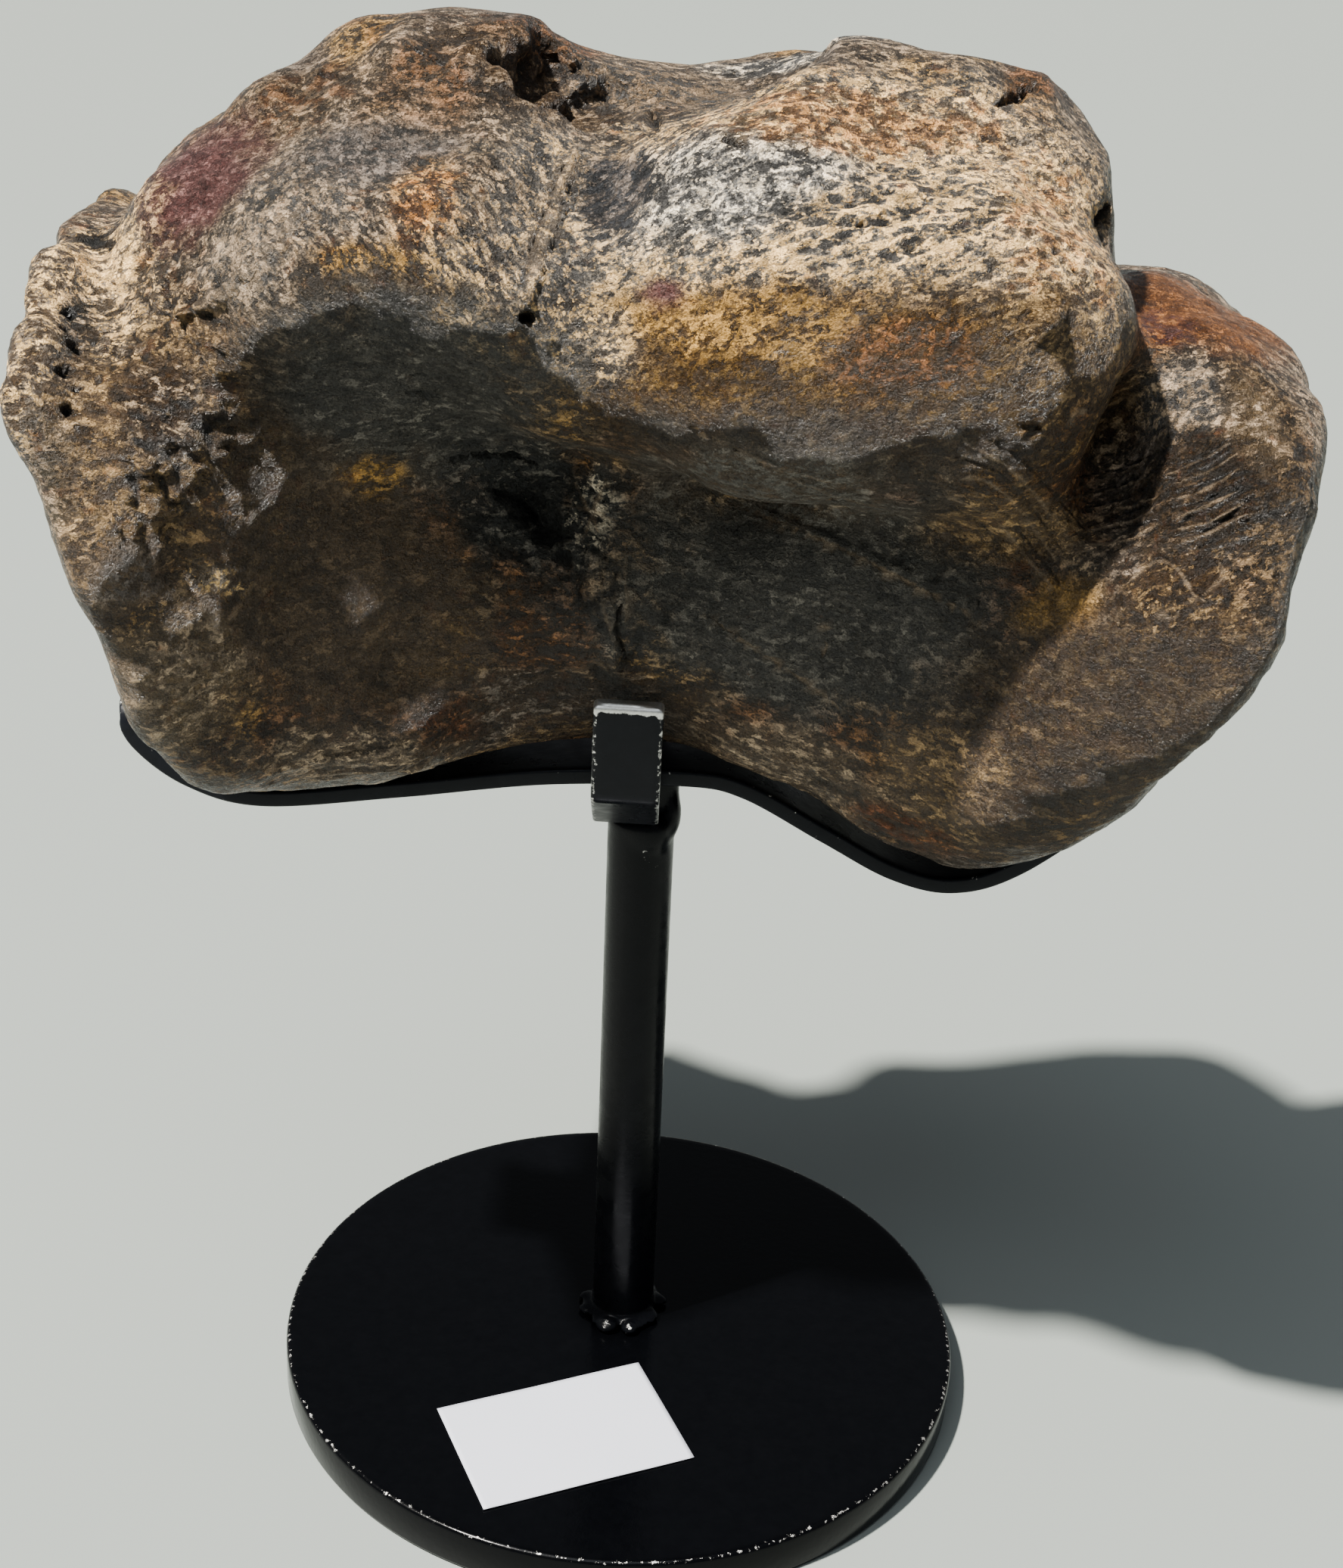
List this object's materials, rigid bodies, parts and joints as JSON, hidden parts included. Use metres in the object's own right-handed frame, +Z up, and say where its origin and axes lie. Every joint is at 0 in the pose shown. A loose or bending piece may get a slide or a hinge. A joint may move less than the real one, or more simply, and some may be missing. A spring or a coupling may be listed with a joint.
{
  "type": "fossil allosaurus caudal vertebra on a stand",
  "caption": "Fossil dinosaur tail vertebra, a flared spool with a broken side process, resting in a bent black steel cradle on a post and round foot.",
  "frame": {"origin": "centre of the round foot's underside", "axes": "+X along the bone, -Y towards the viewer and the larger broken process, +Z up the post"},
  "size_m": [0.11, 0.0723, 0.14],
  "materials": {
    "fossil_bone": "mineralised bone, charcoal and brown with cream, ochre and maroon patches, satin and pitted",
    "black_paint": "black paint on steel, gloss on the foot and satin on the bars, worn to bare metal at some edges",
    "label_paper": "matt white sticker"
  },
  "bodies": {
    "root": {"vertebra": "fossil_bone", "cradle_bar": "black_paint", "front_clip": "black_paint", "back_clip": "black_paint", "post": "black_paint", "base_disc": "black_paint", "price_label": "label_paper"}
  },
  "joints": []
}
